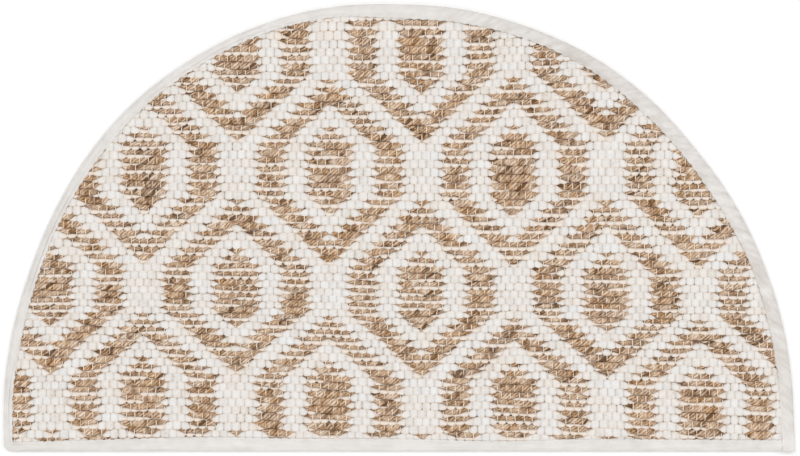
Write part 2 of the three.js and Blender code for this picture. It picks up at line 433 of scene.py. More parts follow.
cotton = yarn_material(
    "cotton",
    [(0.0, paint(208, 196, 182)), (0.2, paint(220, 214, 207)), (0.5, paint(229, 224, 219)),
     (1.0, paint(238, 235, 231))],
    turn_length=0.060, strands=1.0, lay_length=0.2, fineness=2.2, drift_length=70.0, contrast=1.6,
    # The side colour is painted shade. The last colour is painted warm light bounced from jute, and
    # real stains.
    fibre_contrast=1.4, relief=0.8, groove=0.05, batches=0.6, warm_shade_sides=paint(232, 218, 203),
    jute_bounce_and_stain=paint(236, 223, 210))
jute = yarn_material(
    "jute",
    [(0.0, paint(107, 79, 56)), (0.3, paint(168, 133, 101)), (0.55, paint(206, 173, 142)),
     (0.8, paint(222, 194, 167)), (1.0, paint(239, 220, 200))],
    turn_length=0.022, strands=2.5, lay_length=0.022, fineness=1.5, drift_length=80.0,
    contrast=2.0, fibre_contrast=2.0, relief=1.3, groove=0.55, batches=0.16, strand_contrast=0.4)
warp_cotton = yarn_material(
    "warp_cotton",
    [(0.0, paint(237, 222, 205)), (1.0, paint(246, 236, 223))],
    turn_length=0.004, strands=1.0, lay_length=0.004, fineness=1.0, drift_length=40.0, contrast=1.5,
    fibre_contrast=0.9, relief=0.2, groove=0.1)
print("yarns:", cotton.name, jute.name, warp_cotton.name)

# %% [markdown]
# ## Turning arrays into pieces
#
# The weave has thousands of yarn stations, so every mesh is worked out as whole arrays and
# handed to Blender at once. A closed tube is a grid of rings: neighbouring points on
# neighbouring rings make a face, and a flat cap closes each end. Whether the faces point out is
# told by the volume that they close, which is below 0 when they don't.

# %% Mesh helpers
def volume(points, faces):
    """The volume that faces close, in cubic millimetres: a sixth of each corner's dot product
    with the cross product of the next two, summed over fans of triangles."""
    total, points = 0.0, points[:, :3]
    for part in faces:
        for k in range(1, part.shape[1] - 1):
            a, b, c = points[part[:, 0]], points[part[:, k]], points[part[:, k + 1]]
            total += np.einsum("ij,ij->", a, np.cross(b, c)) / 6
    return total


def make_piece(name, points, faces, maps, material):
    """A mesh from points in millimetres, and lists of face and map arrays that go together, one
    for each number of corners. It rides on the rug and takes its finish from a slot. A fourth
    number on the points is how much jute there is beside them."""
    if volume(points, faces) < 0:
        faces, maps = [part[:, ::-1] for part in faces], [part[:, ::-1] for part in maps]
    mesh = bpy.data.meshes.new(name)
    corners = np.concatenate([part.ravel() for part in faces])
    sizes = np.concatenate([np.full(len(part), part.shape[1]) for part in faces])
    mesh.vertices.add(len(points))
    mesh.vertices.foreach_set("co", (points[:, :3] * MM).astype(np.float32).ravel())
    mesh.loops.add(len(corners))
    mesh.loops.foreach_set("vertex_index", corners.astype(np.int32))
    mesh.polygons.add(len(sizes))
    mesh.polygons.foreach_set("loop_start", np.r_[0, np.cumsum(sizes)[:-1]].astype(np.int32))
    flat_map = np.concatenate([part.reshape(-1, 2) for part in maps]).astype(np.float32)
    mesh.update(calc_edges=True)
    mesh.uv_layers.new(name="lay").data.foreach_set("uv", flat_map.ravel())
    if points.shape[1] > 3:
        near = mesh.attributes.new("near_jute", "FLOAT", "POINT")
        near.data.foreach_set("value", points[:, 3].astype(np.float32))
    mesh.shade_smooth()
    mesh.materials.append(material)
    piece = add_to_scene(bpy.data.objects.new(name, mesh))
    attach(piece, "root")
    print(name, "has", int((sizes - 2).sum()), "triangles")
    return piece


print("arrays can be made a mesh")

# %% Closed tubes
def tube_piece(name, points, kept, along, material):
    """One piece of closed tubes from rings: points is (tubes, rings, corners, 3 or 4), kept says
    which rings are there, and along is the length in metres to each ring. The map has the length
    along, and the share of the way round, measured along the ring itself."""
    kept = np.broadcast_to(kept, points.shape[:2])
    kept = kept & (np.pad(kept[:, 1:], ((0, 0), (0, 1))) | np.pad(kept[:, :-1], ((0, 0), (1, 0))))
    ring_number = np.cumsum(kept).reshape(kept.shape) - 1
    corners = points.shape[2]
    number = ring_number[..., None] * corners + np.arange(corners)
    joined = kept[:, :-1] & kept[:, 1:]
    here, there = number[:, :-1][joined], number[:, 1:][joined]
    sides = np.stack([here, np.roll(here, -1, 1), np.roll(there, -1, 1), there], axis=-1)
    gaps = (np.roll(points, -1, 2) - points)[..., :3]
    turn = np.cumsum(np.linalg.norm(gaps, axis=-1), axis=2)
    turn = np.pad(turn / turn[..., -1:], ((0, 0), (0, 0), (1, 0)))
    along_corner = np.broadcast_to(along[..., None], turn.shape)
    ring_map = np.stack([along_corner, turn], axis=-1)
    map_here, map_there = ring_map[:, :-1][joined], ring_map[:, 1:][joined]
    side_map = np.stack([map_here[:, :-1], map_here[:, 1:], map_there[:, 1:], map_there[:, :-1]],
                        axis=2)
    before = np.pad(kept[:, :-1], ((0, 0), (1, 0)))
    after = np.pad(kept[:, 1:], ((0, 0), (0, 1)))
    first, last = kept & ~before, kept & ~after
    caps = np.concatenate([number[first][:, ::-1], number[last]])
    cap_map = np.concatenate([ring_map[first][:, -2::-1], ring_map[last][:, :-1]])
    quads, quad_map = sides.reshape(-1, 4), side_map.reshape(-1, 4, 2)
    body = points[kept].reshape(-1, points.shape[-1])
    return make_piece(name, body, [quads, caps], [quad_map, cap_map], material)


print("rings can be made closed tubes")

# %% [markdown]
# ## The pattern as a chart
#
# The trellis is six-sided rings round ovals, and it repeats every 44 columns and 30 rows, with
# the next ring half a repeat across and down. A weaver keeps such a chart on paper: for each row
# from a ring's middle, the columns where jute is on the face. It mirrors left and right, and up
# and down, so sixteen rows of six kinds are the whole pattern. Each has three spans, and a span
# is written twice where there are only two.

# %% The chart
REPEAT_COLUMNS, REPEAT_ROWS, RING_ROW = 44, 30, 4
OVAL_AND_RING = [[-5, 5], [11, 17], [11, 17]]
OVAL_NARROWS = [[-3, 3], [9, 15], [21, 23]]
OVAL_TIP = [[-1, 1], [7, 13], [19, 25]]
NEXT_OVAL = [[5, 11], [17, 27], [17, 27]]
CHART = [
    *[OVAL_AND_RING] * 4, OVAL_NARROWS, OVAL_TIP, NEXT_OVAL,
    [[3, 9], [15, 21], [23, 29]],
    [[1, 7], [13, 19], [25, 31]],
    OVAL_AND_RING, OVAL_NARROWS, OVAL_TIP, *[NEXT_OVAL] * 4,
]


def inside_jute(column, row):
    """How far a column is inside a jute span, in columns, and below 0 outside every span. The
    column and the row are first folded into the chart by its mirrors."""
    row_in_chart = np.abs((row - RING_ROW + REPEAT_ROWS // 2) % REPEAT_ROWS - REPEAT_ROWS // 2)
    half = REPEAT_COLUMNS // 2
    folded = np.abs((column + half) % REPEAT_COLUMNS - half)
    spans = np.array(CHART, float)[row_in_chart.astype(int)]
    left, right = spans[..., 0], spans[..., 1]
    inside = np.minimum(folded[..., None] - left, right - folded[..., None])
    mirrored = np.minimum(folded[..., None] + right, -left - folded[..., None])
    return np.maximum(inside, mirrored).max(axis=-1)


print("jute at the ring's middle:", inside_jute(np.array([[0.0]]), np.array([[4]])))

# %% [markdown]
# ## The yarns' sections
#
# Seen end on, a row is a pair of squashed yarns. Where cotton is on the face it is a pillow over
# the whole pitch, with jute flat behind it. Where jute is on the face it sits high, with cotton
# low behind it. In between, one sinks as the other rises, which draws the lens-shaped ends of
# each jute span. In places a sliver of cotton shows below the jute.
#
# So a yarn has a few drawn sections, from well outside a span to well inside it, each eight
# points of Y and Z. A second set is drawn for the places where the sliver shows.

# %% Drawn sections
# The places are how far inside a jute span each section belongs, in columns.
COTTON_PLACES = (-2.5, -1, 0, 1, 3)
COTTON_HIDDEN = np.array([
    [[-6.2, 5.6], [-5.6, 7.1], [-4.0, 7.8], [1.4, 7.8], [3.0, 7.1], [3.7, 5.6], [1.6, 3.3],
     [-4.4, 3.3]],
    [[-6.1, 5.3], [-5.5, 6.9], [-3.9, 7.6], [-0.1, 7.6], [1.7, 6.8], [2.5, 5.1], [1.4, 3.0],
     [-4.4, 2.8]],
    [[-5.8, 4.8], [-5.2, 6.4], [-4.0, 7.1], [-2.0, 6.8], [-0.4, 5.4], [0.4, 3.6], [0.6, 1.6],
     [-4.2, 1.6]],
    [[-5.1, 3.2], [-4.8, 4.7], [-4.0, 5.4], [-3.0, 5.0], [-0.8, 2.8], [2.6, 2.0], [1.6, 0.1],
     [-4.0, 0.3]],
    [[-4.8, 2.8], [-4.5, 4.0], [-3.8, 4.6], [-2.8, 4.2], [-0.4, 2.6], [3.0, 2.0], [1.8, 0.0],
     [-4.2, 0.4]],
])
COTTON_SHOWN = COTTON_HIDDEN.copy()
COTTON_SHOWN[2:, :5] = [
    [[-5.9, 4.9], [-5.4, 6.6], [-4.0, 7.5], [-1.6, 7.2], [-0.2, 5.6]],
    [[-5.7, 4.4], [-5.3, 6.3], [-3.7, 7.4], [-1.8, 6.8], [-0.4, 3.6]],
    [[-5.6, 4.2], [-5.2, 6.1], [-3.5, 7.3], [-1.7, 6.6], [-0.3, 3.4]],
]
JUTE_PLACES = (-2.3, -1.6, -1, 0, 1, 3)
JUTE_WIDE = np.array([
    [[-4.3, 1.7], [-3.0, 2.7], [0.0, 3.0], [3.0, 2.7], [4.3, 1.7], [3.0, 0.5], [0.0, 0.0],
     [-3.0, 0.5]],
    [[2.7, 3.6], [3.0, 4.6], [3.6, 5.0], [4.1, 4.6], [4.2, 3.6], [3.8, 2.7], [3.2, 2.4],
     [2.7, 2.8]],
    [[2.4, 3.9], [2.7, 5.3], [3.4, 6.0], [4.1, 5.4], [4.4, 4.1], [3.8, 2.8], [3.1, 2.3],
     [2.5, 2.8]],
    [[-0.4, 4.6], [0.4, 6.5], [2.1, 7.4], [3.9, 6.7], [4.7, 4.8], [3.7, 2.8], [2.0, 2.2],
     [0.3, 2.9]],
    [[-3.0, 5.0], [-2.0, 7.0], [0.8, 7.9], [3.7, 7.1], [4.8, 5.1], [3.6, 3.2], [1.0, 2.6],
     [-1.8, 3.2]],
    [[-3.7, 5.1], [-2.6, 7.2], [0.5, 8.1], [3.6, 7.3], [4.9, 5.2], [3.6, 3.2], [0.6, 2.6],
     [-2.4, 3.2]],
])
JUTE_NARROW = JUTE_WIDE.copy()
JUTE_NARROW[3:] = [
    [[0.5, 4.6], [1.1, 6.4], [2.4, 7.2], [3.8, 6.6], [4.5, 4.8], [3.7, 2.8], [2.3, 2.2],
     [0.9, 2.9]],
    [[-0.7, 5.0], [0.0, 6.8], [1.8, 7.6], [3.7, 6.9], [4.6, 5.1], [3.6, 3.2], [1.8, 2.6],
     [0.0, 3.2]],
    [[-1.0, 5.1], [-0.2, 6.9], [1.7, 7.7], [3.6, 7.0], [4.6, 5.2], [3.6, 3.2], [1.6, 2.6],
     [-0.2, 3.2]],
]
print("sections:", len(COTTON_PLACES), "for cotton and", len(JUTE_PLACES), "for jute")

# %% [markdown]
# ## Mixing and pinching
#
# Each ring is a mix of the two nearest drawings, by how far inside a span it lies. At each tie
# the warp pulls the section down and in. Five rings in each 8.5 mm cell are enough: one at the
# face tie, one on each side of it, and two at the back, where the yarn bows over the other warp.

# %% Mixed and pinched sections
TIE_PHASES = np.array([0.0, 0.12, 0.5, 1.5, 1.88])
FACE_PINCH = np.array([1.0, 0.3, 0.0, 0.0, 0.3])
BACK_PINCH = np.array([0.0, 0.0, 1.0, 1.0, 0.0])
NARROWING = np.array([1.0, 0.5, 0.0, 0.0, 0.5])
BACK_PINCH_DEPTH = 0.6
MIDDLE_Z = 3.3
FACE_DEPTH = 4.6


def mixed_sections(plain, shown, places, inside, sliver):
    """The section at each ring: a straight mix of the two drawn sections either side of it. The
    plain drawings serve where no sliver shows, and the others where it shows most."""
    place = np.interp(inside, places, np.arange(len(places)))
    lower = np.minimum(place.astype(int), len(plain) - 2)
    share, sliver = (place - lower)[..., None, None], sliver[..., None, None]
    first = plain[lower] * (1 - sliver) + shown[lower] * sliver
    second = plain[lower + 1] * (1 - sliver) + shown[lower + 1] * sliver
    return first * (1 - share) + second * share


def pinched(section, depth, face, back, narrow):
    """Pulls the upper side down at a face tie and the lower side up at a back tie, each by how
    far a point is from the middle, and draws the section in towards its own middle."""
    y, z = section[..., 0], section[..., 1]
    above = np.clip((z - MIDDLE_Z) / FACE_DEPTH, 0, 1)
    below = np.clip((MIDDLE_Z - z) / MIDDLE_Z, 0, 1)
    z = z - depth * face[..., None] * above
    z = z + BACK_PINCH_DEPTH * back[..., None] * below
    middle = y.mean(-1, keepdims=True)
    return middle + (y - middle) * (1 - narrow[..., None]), z


print("a cell has", len(TIE_PHASES), "rings")

# %% [markdown]
# ## Small faults of the hand
#
# No tie is exactly in line and no yarn is even. A few slow waves and small random steps, drawn
# once from a fixed seed, are shared by everything that meets at a tie, so a warp moves with the
# crease that it makes. Slow waves also say where the sliver shows and how far the ties open.

# %% Small faults
FIRST_ROW, LAST_ROW = -2, 55
FIRST_COLUMN, LAST_COLUMN = -102, 92
rows = np.arange(FIRST_ROW, LAST_ROW + 1)
columns = np.arange(FIRST_COLUMN, LAST_COLUMN + 1)
random = np.random.default_rng(12)
tie_nudge = random.normal(0, 0.32, (len(rows), len(columns)))
tie_bow = random.normal(0, 0.3, (len(rows), len(columns)))
pillow_height = random.normal(0, 0.28, (len(rows), len(columns)))


def three_phases():
    """Where each of three waves starts in every row, as an angle."""
    return random.uniform(0, 2 * np.pi, (3, len(rows), 1))


wave_phase, fat_phase = three_phases(), three_phases()
row_start = random.uniform(0, 40, (len(rows), 1))
sliver_phase, stray_phase, open_phase = three_phases(), three_phases(), three_phases()


def by_column(table, column):
    """A table with one value for each row and whole column, read at columns in between."""
    lower = np.clip(np.floor(column).astype(int) - FIRST_COLUMN, 0, len(columns) - 2)
    share = column - FIRST_COLUMN - lower
    row_index = np.arange(len(table))[:, None]
    return table[row_index, lower] * (1 - share) + table[row_index, lower + 1] * share


def waves(phase, x):
    """Three sines of x at 23, 61 and 170 mm, each row with its own phases, from -1 to 1."""
    lengths = (23.0, 61.0, 170.0)
    return sum(np.sin(2 * np.pi * x / length + p) for length, p in zip(lengths, phase)) / 3


def row_wander(row, x):
    """How far a row strays from its place: a slanting wave that neighbouring rows share, and a
    small stray of its own."""
    shared = 0.2 * np.sin(2 * np.pi * (row / 5 - x / 90) + 2)
    return shared + 0.5 * waves(stray_phase, 0.8 * x) - 0.4


def sliver_shown(x):
    """How much cotton shows under the jute, from 0 to 1, in slow waves along each row."""
    return np.clip(0.36 + 2.4 * waves(sliver_phase, 0.36 * x), 0, 1)


def tie_opening(x):
    """How far the ties part one row from the next, as a share of the usual, from 0.3 to 2.6."""
    return np.clip(1 + 2.6 * waves(open_phase, 0.7 * x), 0.3, 2.6)


print("one seed gives", tie_nudge.size, "tie places")

# %% [markdown]
# ## Pressed flat under the tape
#
# Where the field goes under the folded tape it is stitched flat. Every point close to the tape,
# or under it, is drawn towards the middle of the cloth, and more so towards the fold.

# %% Pressing near the tape
PRESS_REACH = 6.0
PRESSED_SHARE = 0.55
PRESSED_TOP = 5.0
FLAT_DEPTH = -8.0
FLAT_SHARE = 0.3
UNDER_TAPE = -7.0
FOLD_ROOM = 2.5


def pressed(x, y, z):
    """Height after sewing: the distance from the cloth's middle times a share that goes
    smoothly from 0.55 under the tape's edge to 1 six millimetres inside it, and falls again
    towards the fold. Under the tape no yarn stands higher than 5 mm, and the limit rises
    steeply inside its edge."""
    inside = inside_tape(x, y)
    t = np.clip((inside + 1) / (PRESS_REACH + 1), 0, 1)
    share = PRESSED_SHARE + (1 - PRESSED_SHARE) * t * t * (3 - 2 * t)
    share = share * np.interp(inside, (FLAT_DEPTH, -1), (FLAT_SHARE, 1))
    limit = PRESSED_TOP + np.clip(inside, 0, PRESS_REACH)
    return np.clip(MIDDLE_Z + (z - MIDDLE_Z) * share, 0, limit)


print("under the tape the weave is", PRESSED_TOP, "mm thick at most")

# %% [markdown]
# ## The weft: cotton and jute in every row
#
# All the rings of all the rows are one array. Rows are numbered down and rings across, so the
# chart, the sections, the ties and the pressing are each a line or two on the whole rug. Each
# yarn is cut in two pieces, upper and lower, so that none grows too heavy.

# %% Where the rings lie
cells = np.arange(FIRST_COLUMN + 1, LAST_COLUMN - 2, 2)
ties = cells + (rows[:, None] - FIRST_COLUMN) % 2
column = (ties[..., None] + TIE_PHASES).reshape(len(rows), -1)
row = np.broadcast_to(rows[:, None].astype(float), column.shape)
x = column_x(column, row) + by_column(tie_nudge, column)
centre_y = row_y(row, x)
pitch = row_y(row - 0.5, x) - row_y(row + 0.5, x)
along_yarn = x * MM + row_start
face, back, narrowing = (np.tile(part, (len(rows), len(cells)))
                         for part in (FACE_PINCH, BACK_PINCH, NARROWING))
print(len(rows), "rows of", column.shape[1], "rings")

# %% Weft rings
SPAN_WANDER = 0.35
SWELL_LENGTH = 0.0073
NARROW_FROM = -2.0
NARROWEST = 0.45
NEAR_JUTE = (-0.7, 0.6)
DEEPEST_JUTE_BOUNCE = 0.85


def weft_rings(plain, shown, places, pinch_depth, narrows, gives_way, fatness, lumps):
    """Rings of one weft in every row. A ring's section is mixed by the chart, pinched by the
    ties, and set at its column and row. narrows is how far a tie draws it in, outside a span
    and inside. gives_way is how far its upper side moves down for a sliver of the row above.
    fatness is how far slow waves swell it, and lumps how far its strands do, three of them
    round the yarn. Under the tape it is narrower, and stops short of the fold."""
    inside = inside_jute(column, row) + SPAN_WANDER * waves(wave_phase, 1.7 * x)
    narrow = np.interp(inside, (-1, 1), narrows) * narrowing * tie_opening(x)
    sliver = sliver_shown(x)
    section = mixed_sections(plain, shown, places, inside, sliver)
    y, z = pinched(section, pinch_depth, face, back, narrow)
    middle_y, middle_z = y.mean(-1, keepdims=True), z.mean(-1, keepdims=True)
    upper_side = np.clip((y - middle_y) / 3, 0, 1)
    y = y - gives_way * (np.roll(sliver, 1, 0) * (1 - 0.5 * back))[..., None] * upper_side
    round_angle = np.arctan2(z - middle_z, y - middle_y)
    wound_on = 2 * np.pi * along_yarn[..., None] / SWELL_LENGTH
    swell = 1 + lumps * np.cos(3 * round_angle + wound_on)
    swell = swell + fatness * waves(fat_phase, x)[..., None]
    y = middle_y + (y - middle_y) * swell
    z = middle_z + (z - middle_z) * swell
    raised = by_column(pillow_height, np.round((column - 1) / 2) * 2 + 1) * (1 - face)
    z = z + raised[..., None] * np.clip((z - MIDDLE_Z) / FACE_DEPTH, 0, 1)
    past_hem = inside_tape(x, centre_y)
    y = y * np.interp(past_hem, (UNDER_TAPE, NARROW_FROM), (NARROWEST, 1))[..., None]
    ring_x = np.broadcast_to(x[..., None], y.shape)
    ring_y = (centre_y + row_wander(row, x))[..., None] + y * (pitch / PITCH)[..., None]
    ring_y = np.maximum(ring_y, FRONT_Y + FOLD_ROOM)
    ring_z = pressed(ring_x, ring_y, z)
    # Painted warm light bounced from jute, strongest inside a span, plus the real stain spots.
    near = np.interp(inside, NEAR_JUTE, (0, DEEPEST_JUTE_BOUNCE)) + bells(STAINS, x, centre_y)
    near = np.broadcast_to(np.minimum(near, 1)[..., None], y.shape)
    return np.stack([ring_x, ring_y, ring_z, near], axis=-1), past_hem > UNDER_TAPE, along_yarn


def in_halves(name, points, kept, along, material):
    """Two pieces, one of the first half of the tubes and one of the rest."""
    return [tube_piece(f"{name}_{k + 1}", points[half], kept[half], along[half], material)
            for k, half in enumerate(np.array_split(np.arange(len(points)), 2))]


cotton_rings = weft_rings(COTTON_HIDDEN, COTTON_SHOWN, COTTON_PLACES, pinch_depth=2.1,
                          narrows=(0.22, 0.60), gives_way=0.0, fatness=0.05, lumps=0.0)
jute_rings = weft_rings(JUTE_WIDE, JUTE_NARROW, JUTE_PLACES, pinch_depth=1.2,
                        narrows=(0.08, 0.08), gives_way=1.8, fatness=0.10, lumps=0.04)
cotton_weft = in_halves("cotton_weft", *cotton_rings, cotton)
jute_weft = in_halves("jute_weft", *jute_rings, jute)

# %% [markdown]
# ## The warp: thin threads that tie every row
#
# The warps run from the crown to the straight edge. A warp lies over a row and under the next,
# and its neighbour does the opposite, which is plain weave. They are as thin as string and only
# show as creases across the cotton and pale ticks across the jute, so three sides and four rings
# to a row are enough.

# %% Warp threads
WARP_RADIUS = 0.56
WARP_PHASES = np.array([-0.5, -0.36, 0.0, 0.36])
OVER_Z = np.array([3.6, 6.5, 7.2, 6.5])
CREASE_DROP = 2.05
UNDER_Z = np.array([3.4, 0.95, 0.45, 0.95])
SLIVER_DROP = 0.7
COTTON_SHIFT = 0.14
MAP_SHIFT = 0.37


def warp_rings():
    """Rings of every warp. It lies over where row and column add up to an odd number, deeper
    where it creases cotton, and under elsewhere. Three corners stand round it in the plane
    across it."""
    rings = len(WARP_PHASES)
    tube_column = np.repeat(columns[1:-1, None], len(rows) * rings, axis=1).astype(float)
    whole = np.broadcast_to(np.repeat(rows, rings), tube_column.shape)
    phase = np.broadcast_to(np.tile(np.arange(rings), len(rows)), tube_column.shape)
    over = (tube_column + whole) % 2 == 1
    z = np.where(over, OVER_Z[phase], UNDER_Z[phase])
    jute_share = np.clip((inside_jute(tube_column, whole) + 1) / 2, 0, 1)
    row = whole + WARP_PHASES[phase] + COTTON_SHIFT * (1 - jute_share)
    z = z - np.where(over & (phase == 3), SLIVER_DROP * jute_share, 0)
    z = z - np.where(over, CREASE_DROP * (1 - jute_share), 0)
    nudge = np.repeat(tie_nudge[:, 1:-1].T, rings, axis=1)
    bow = np.repeat(tie_bow[:, 1:-1].T, rings, axis=1)
    nudge = np.where(phase == 0, 0.5 * (nudge + np.roll(nudge, 1, 1)), nudge)
    x = column_x(tube_column, row) + nudge + np.where(over & (phase == 2), bow, 0)
    y = row_y(row, x)
    z = pressed(x, y, z)
    turn = 2 * np.pi * (np.arange(3) + 0.25) / 3
    slope = np.gradient(z, axis=1) / np.gradient(y, axis=1)
    tilt = 1 / np.sqrt(1 + slope ** 2)
    ring_x = x[..., None] + WARP_RADIUS * np.cos(turn)
    ring_y = y[..., None] - WARP_RADIUS * np.sin(turn) * (slope * tilt)[..., None]
    ring_z = z[..., None] + WARP_RADIUS * np.sin(turn) * tilt[..., None]
    along = (HALF_WIDTH - y) * MM + tube_column * MAP_SHIFT
    kept = inside_tape(x, y) > UNDER_TAPE
    return np.stack([ring_x, ring_y, ring_z], axis=-1), kept, along


warp = in_halves("warp_threads", *warp_rings(), warp_cotton)

# %% [markdown]
# ## The cloth's packed middle
#
# On a loom the yarns are beaten so close that no light comes through. Round tubes leave small
# holes, so a thin brown sheet lies in the middle of the weave, where the hidden yarns pack
# together.
# Its browns are darker than the jute's own colour: painted shade, for the dark deep in the gaps.

# %% Packed middle
SHEET_THICKNESS = 0.5
SHEET_EDGE = -6.0
FAN_MIDDLE_Y = -60.0
PAST_THE_EDGE = 460.0

# The sheet's dark browns are painted shade of the deep gaps in the weave.
packed_shade, tree, shader = new_material("shaded_packed_yarn", 0.95)
place = put(tree, "ShaderNodeTexCoord").outputs["Object"]
shaded_patches = ramp(tree, noise(tree, place, 220.0, 2.0), (0.3, paint(58, 44, 33)),
               (0.7, paint(112, 87, 64)))
tree.links.new(shaded_patches, shader["Base Color"])


def packed_sheet():
    """The sheet as a tube of rings: each runs round the outline at an even share of the way out
    from the middle, first on the top layer and then back in on the bottom one. The way out to
    the rim is found on all rays at once, by halving the stretch that it lies in. A small ripple
    both ways keeps it from lying dead flat."""
    steps, shares = 240, np.linspace(0.02, 1, 40)
    turn = 2 * np.pi * (np.arange(steps) + 0.5) / steps
    ray = np.stack([np.cos(turn), np.sin(turn)])
    low, high = np.zeros(steps), np.full(steps, PAST_THE_EDGE)
    for _ in range(20):
        reach = (low + high) / 2
        outside = inside_tape(reach * ray[0], FAN_MIDDLE_Y + reach * ray[1]) < SHEET_EDGE
        low, high = np.where(outside, low, reach), np.where(outside, reach, high)
    x = shares[:, None] * reach * ray[0]
    y = FAN_MIDDLE_Y + shares[:, None] * reach * ray[1]
    z = MIDDLE_Z + 0.15 * np.sin(x / 3.1) * np.sin(y / 2.9)
    top = np.stack([x, y, z + SHEET_THICKNESS / 2], -1)
    bottom = np.stack([x, y, z - SHEET_THICKNESS / 2], -1)[::-1]
    return np.concatenate([top, bottom])[None]


layers = packed_sheet()
ground = tube_piece("packed_middle", layers, True, np.linspace(0, 1, layers.shape[1]), packed_shade)
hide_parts("woven_field")

# %% [markdown]
# ## The tape: one strip folded over the edge
#
# The binding is a single strip of cotton tape. It starts at the right-hand corner, runs left
# along the straight edge, round the left corner, over the arc and down the right side, and its
# end lies over its own start. Sweeping one folded section along that path makes it what it is,
# a strip, where a bevelled border would have no underside, no fold and no end.
#
# The path is two matched curves: the fold outside and the hem inside. A section is drawn by how
# far it is from the fold and by height, and stretched to the width at hand.

# %% The tape's path
CORNER_RADIUS, HEM_CORNER_RADIUS, LAP_INSET = 7.5, 1.5, 4.0


def straight(count, fold_start, fold_end, hem_start, hem_end):
    """A straight stretch of both curves, each evenly from its start to its end."""
    share = np.linspace(0, 1, count)
    return tuple(start + share * (end - start)
                 for start, end in zip((*fold_start, *hem_start), (*fold_end, *hem_end)))


def along_front(count):
    """From inside the right-hand lap to the left corner. The hem's Y is read from its table."""
    start = HALF_WIDTH - LAP_INSET
    fold_x, fold_y, hem_x, _ = straight(
        count, (start, FRONT_Y), (LEFT_X + CORNER_RADIUS, FRONT_Y),
        (start, FRONT_Y), (FIELD_LEFT + HEM_CORNER_RADIUS, FRONT_Y))
    return fold_x, fold_y, hem_x, front_tape_y(hem_x)


def round_corner(count):
    """A quarter turn at the left corner, from facing down to facing left."""
    turn = np.radians(np.linspace(270, 180, count + 2)[1:-1])
    right, up = 1 + np.cos(turn), 1 + np.sin(turn)
    return (LEFT_X + CORNER_RADIUS * right, FRONT_Y + CORNER_RADIUS * up,
            FIELD_LEFT + HEM_CORNER_RADIUS * right,
            front_tape_y(FIELD_LEFT) + HEM_CORNER_RADIUS * up)


def up_left_side(count):
    """Up the short upright side."""
    hem_start = front_tape_y(FIELD_LEFT) + HEM_CORNER_RADIUS
    return straight(count, (LEFT_X, FRONT_Y + CORNER_RADIUS), (LEFT_X, ARC_Y),
                    (FIELD_LEFT, hem_start), (FIELD_LEFT, ARC_Y))


def over_arc(count):
    """Over the arc from left to right, by the tables of radius and tape width."""
    degrees = np.linspace(180, 0, count + 2)[1:-1]
    fold = along_table(ARC_RADIUS, degrees)
    hem = fold - along_table(TAPE_WIDTH, degrees)
    across, up = np.cos(np.radians(degrees)), np.sin(np.radians(degrees))
    return ARC_X + fold * across, ARC_Y + fold * up, ARC_X + hem * across, ARC_Y + hem * up


def down_right_side(count):
    """Down the right side and over the start of the strip."""
    fold_top = ARC_X + ARC_RADIUS[0][1]
    return straight(count, (fold_top, ARC_Y), (HALF_WIDTH, FRONT_Y),
                    (fold_top - TAPE_WIDTH[0][1], ARC_Y), (FIELD_RIGHT, FRONT_Y))


path = [along_front(280), round_corner(9), up_left_side(18), over_arc(600), down_right_side(26)]
fold_x, fold_y, hem_x, hem_y = (np.concatenate(part) for part in zip(*path))
tape_width = np.hypot(hem_x - fold_x, hem_y - fold_y)
steps = np.hypot(np.diff((fold_x + hem_x) / 2), np.diff((fold_y + hem_y) / 2))
tape_along = np.r_[0, np.cumsum(steps)]
print("the strip is", round(tape_along[-1]), "mm long")

# %% [markdown]
# ## Puckers, the sewn line and the lap
#
# Tape is cut straight, so on a curve its inner edge has cloth to spare, and the stitches hold it
# in small slanting puckers. They show most on the right shoulder and beside the crown. The sewn
# line presses a narrow channel near the hem, and where the strip's end lies over its start the
# start is pressed thinner and the end stands a little higher.
#
# The section is a flat loop, drawn from the hem below round the fold to the hem above and back
# inside. Each point has its share of the way from fold to hem, an offset, and a height.

# %% The folded strip
TAPE_SECTION = [
    (1.00, 0.0, 0.30), (1.00, -2.2, 0.35), (0.62, 0.0, 0.00), (0.00, 3.0, 0.02),
    (0.00, 1.2, 0.60), (0.00, 0.3, 1.90), (0.00, 0.0, 3.30), (0.00, 0.5, 4.70),
    (0.00, 1.7, 5.85), (0.00, 3.6, 6.65), (0.35, 0.8, 7.05), (0.65, 0.0, 7.05),
    (1.00, -3.3, 6.80), (1.00, -2.2, 6.25), (1.00, -1.0, 6.45), (1.00, 0.1, 5.95),
    (1.00, 0.1, 5.30), (1.00, -2.2, 5.20), (0.50, 0.0, 6.00), (0.00, 3.8, 5.60),
    (0.00, 1.6, 3.30), (0.00, 3.0, 1.10), (0.62, 0.0, 1.05), (1.00, -2.2, 1.30),
    (1.00, -0.2, 1.20),
]
TOP_ONLY = 4.0
PUCKER_LEVEL = 0.2
PUCKERED_PLACES = ((58, 17, 0.7), (109, 7, 0.45))
PUCKER_WAVES = ((8.3, 0.9), (13.1, 1.3), (21.0, -1.6), (47.0, -1.0))
STITCHED_DOWN, FULLEST = -0.5, 1.7
SCALLOP_DEPTH, SCALLOP_LENGTH = 0.6, 8.5


def pucker_strength(x, y):
    """How strongly the tape puckers: a low level all round, and a bell by angle at each place
    where the tape is fullest."""
    angle = np.degrees(np.arctan2(y - ARC_Y, x - ARC_X))
    return PUCKER_LEVEL + sum(height * np.exp(-((angle - at) / reach) ** 2)
                              for at, reach, height in PUCKERED_PLACES)


def puckers(along, across, width):
    """How far the top layer lifts: a sum of sines that slant across the tape, held down on one
    side, times the strength at that place. They fade out in the last 3 mm to the fold."""
    phases = random.uniform(0, 2 * np.pi, len(PUCKER_WAVES))
    ripple = sum(np.sin(2 * np.pi * (along + slant * across * width) / length + phase)
                 for (length, slant), phase in zip(PUCKER_WAVES, phases))
    strength = pucker_strength(hem_x, hem_y)[:, None]
    return strength * np.clip(ripple, STITCHED_DOWN, FULLEST) * np.clip(across * width / 3, 0, 1)


